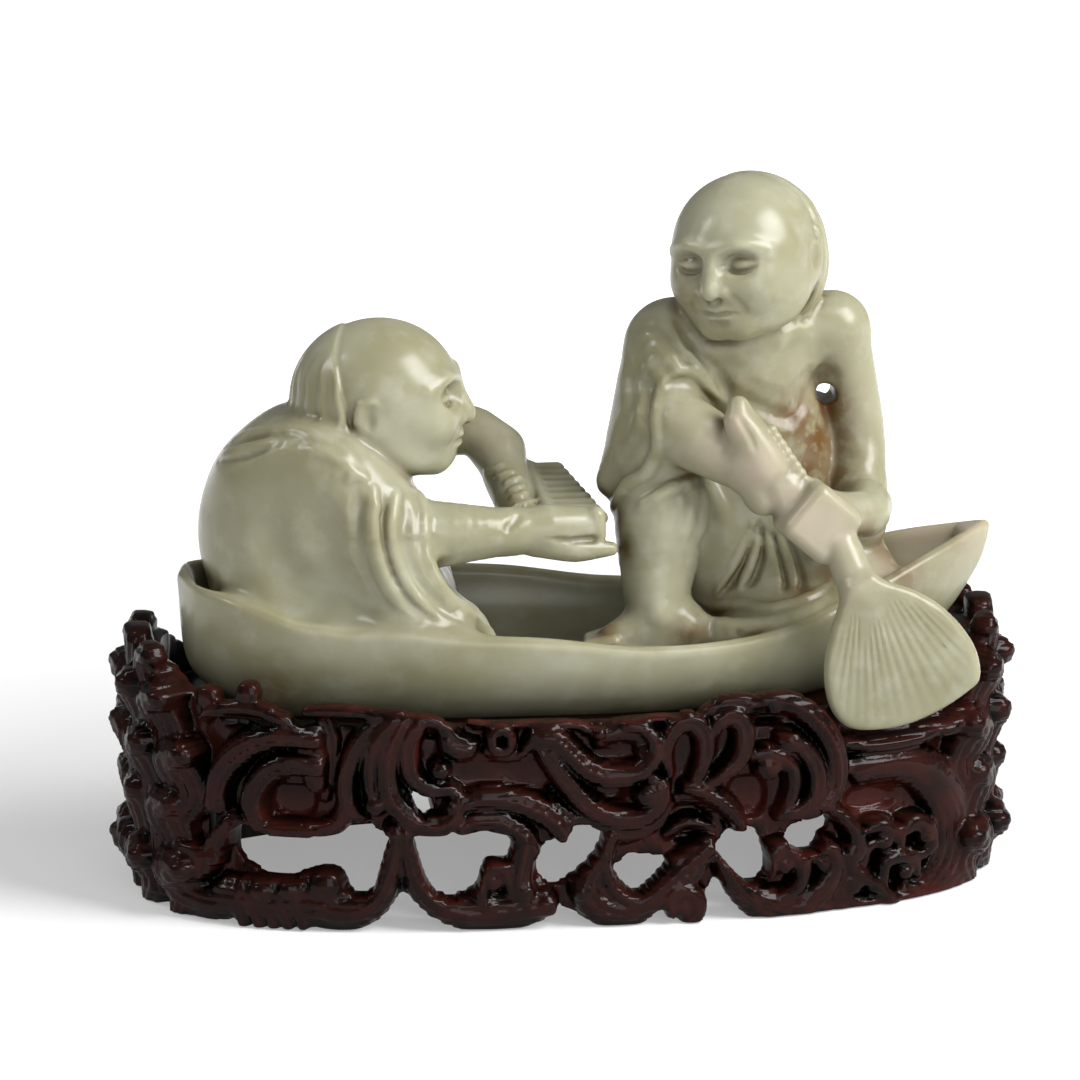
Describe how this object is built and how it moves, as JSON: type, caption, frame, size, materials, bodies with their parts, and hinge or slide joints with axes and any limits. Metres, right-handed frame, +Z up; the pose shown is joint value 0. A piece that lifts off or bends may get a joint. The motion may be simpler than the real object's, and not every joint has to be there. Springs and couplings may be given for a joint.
{
  "type": "jade figure group on wood stand",
  "caption": "Carved pale jade group of two seated figures in a small boat, one with a ribbed bundle and one with a paddle, on an openwork scroll stand of dark wood.",
  "frame": {"origin": "centre of the whole object's footprint, on the surface that the stand rests on", "axes": "+Z up, +X towards the boat's bow, -Y towards the viewer in the picture"},
  "size_m": [0.1421, 0.0668, 0.1104],
  "materials": {
    "jade": "polished translucent stone",
    "dark_wood": "glossy dark red-brown lacquer"
  },
  "bodies": {
    "root": {"jade_boat_group": "jade", "openwork_stand": "dark_wood"}
  },
  "joints": []
}
